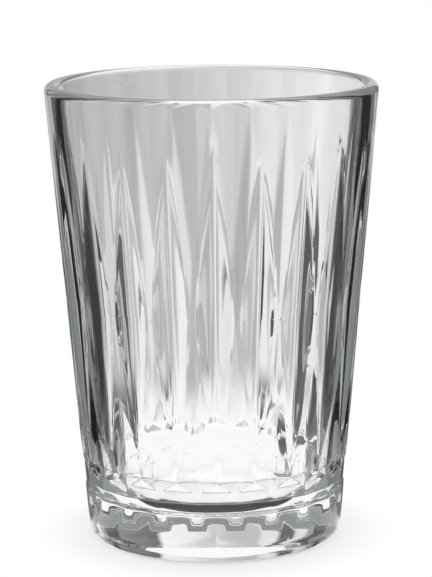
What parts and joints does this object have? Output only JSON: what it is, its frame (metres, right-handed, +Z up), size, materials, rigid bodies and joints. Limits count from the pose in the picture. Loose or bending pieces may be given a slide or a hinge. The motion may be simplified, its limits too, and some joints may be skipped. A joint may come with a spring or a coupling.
{
  "type": "juice glass",
  "caption": "Clear pressed-glass juice tumbler with a round lip, a tapering body, tall V cuts over spears, a band of shallow flutes, a foot with tongues, and a thick base.",
  "frame": {"origin": "middle of the foot, on the plane that the glass stands on", "axes": "+Z up along the axis of the glass; a tall cut faces -Y"},
  "size_m": [0.0686, 0.0686, 0.095],
  "materials": {
    "glass": "clear colourless pressed glass with a bright fire-polished surface and crisp V cuts"
  },
  "bodies": {
    "root": {"tumbler": "glass"}
  },
  "joints": []
}
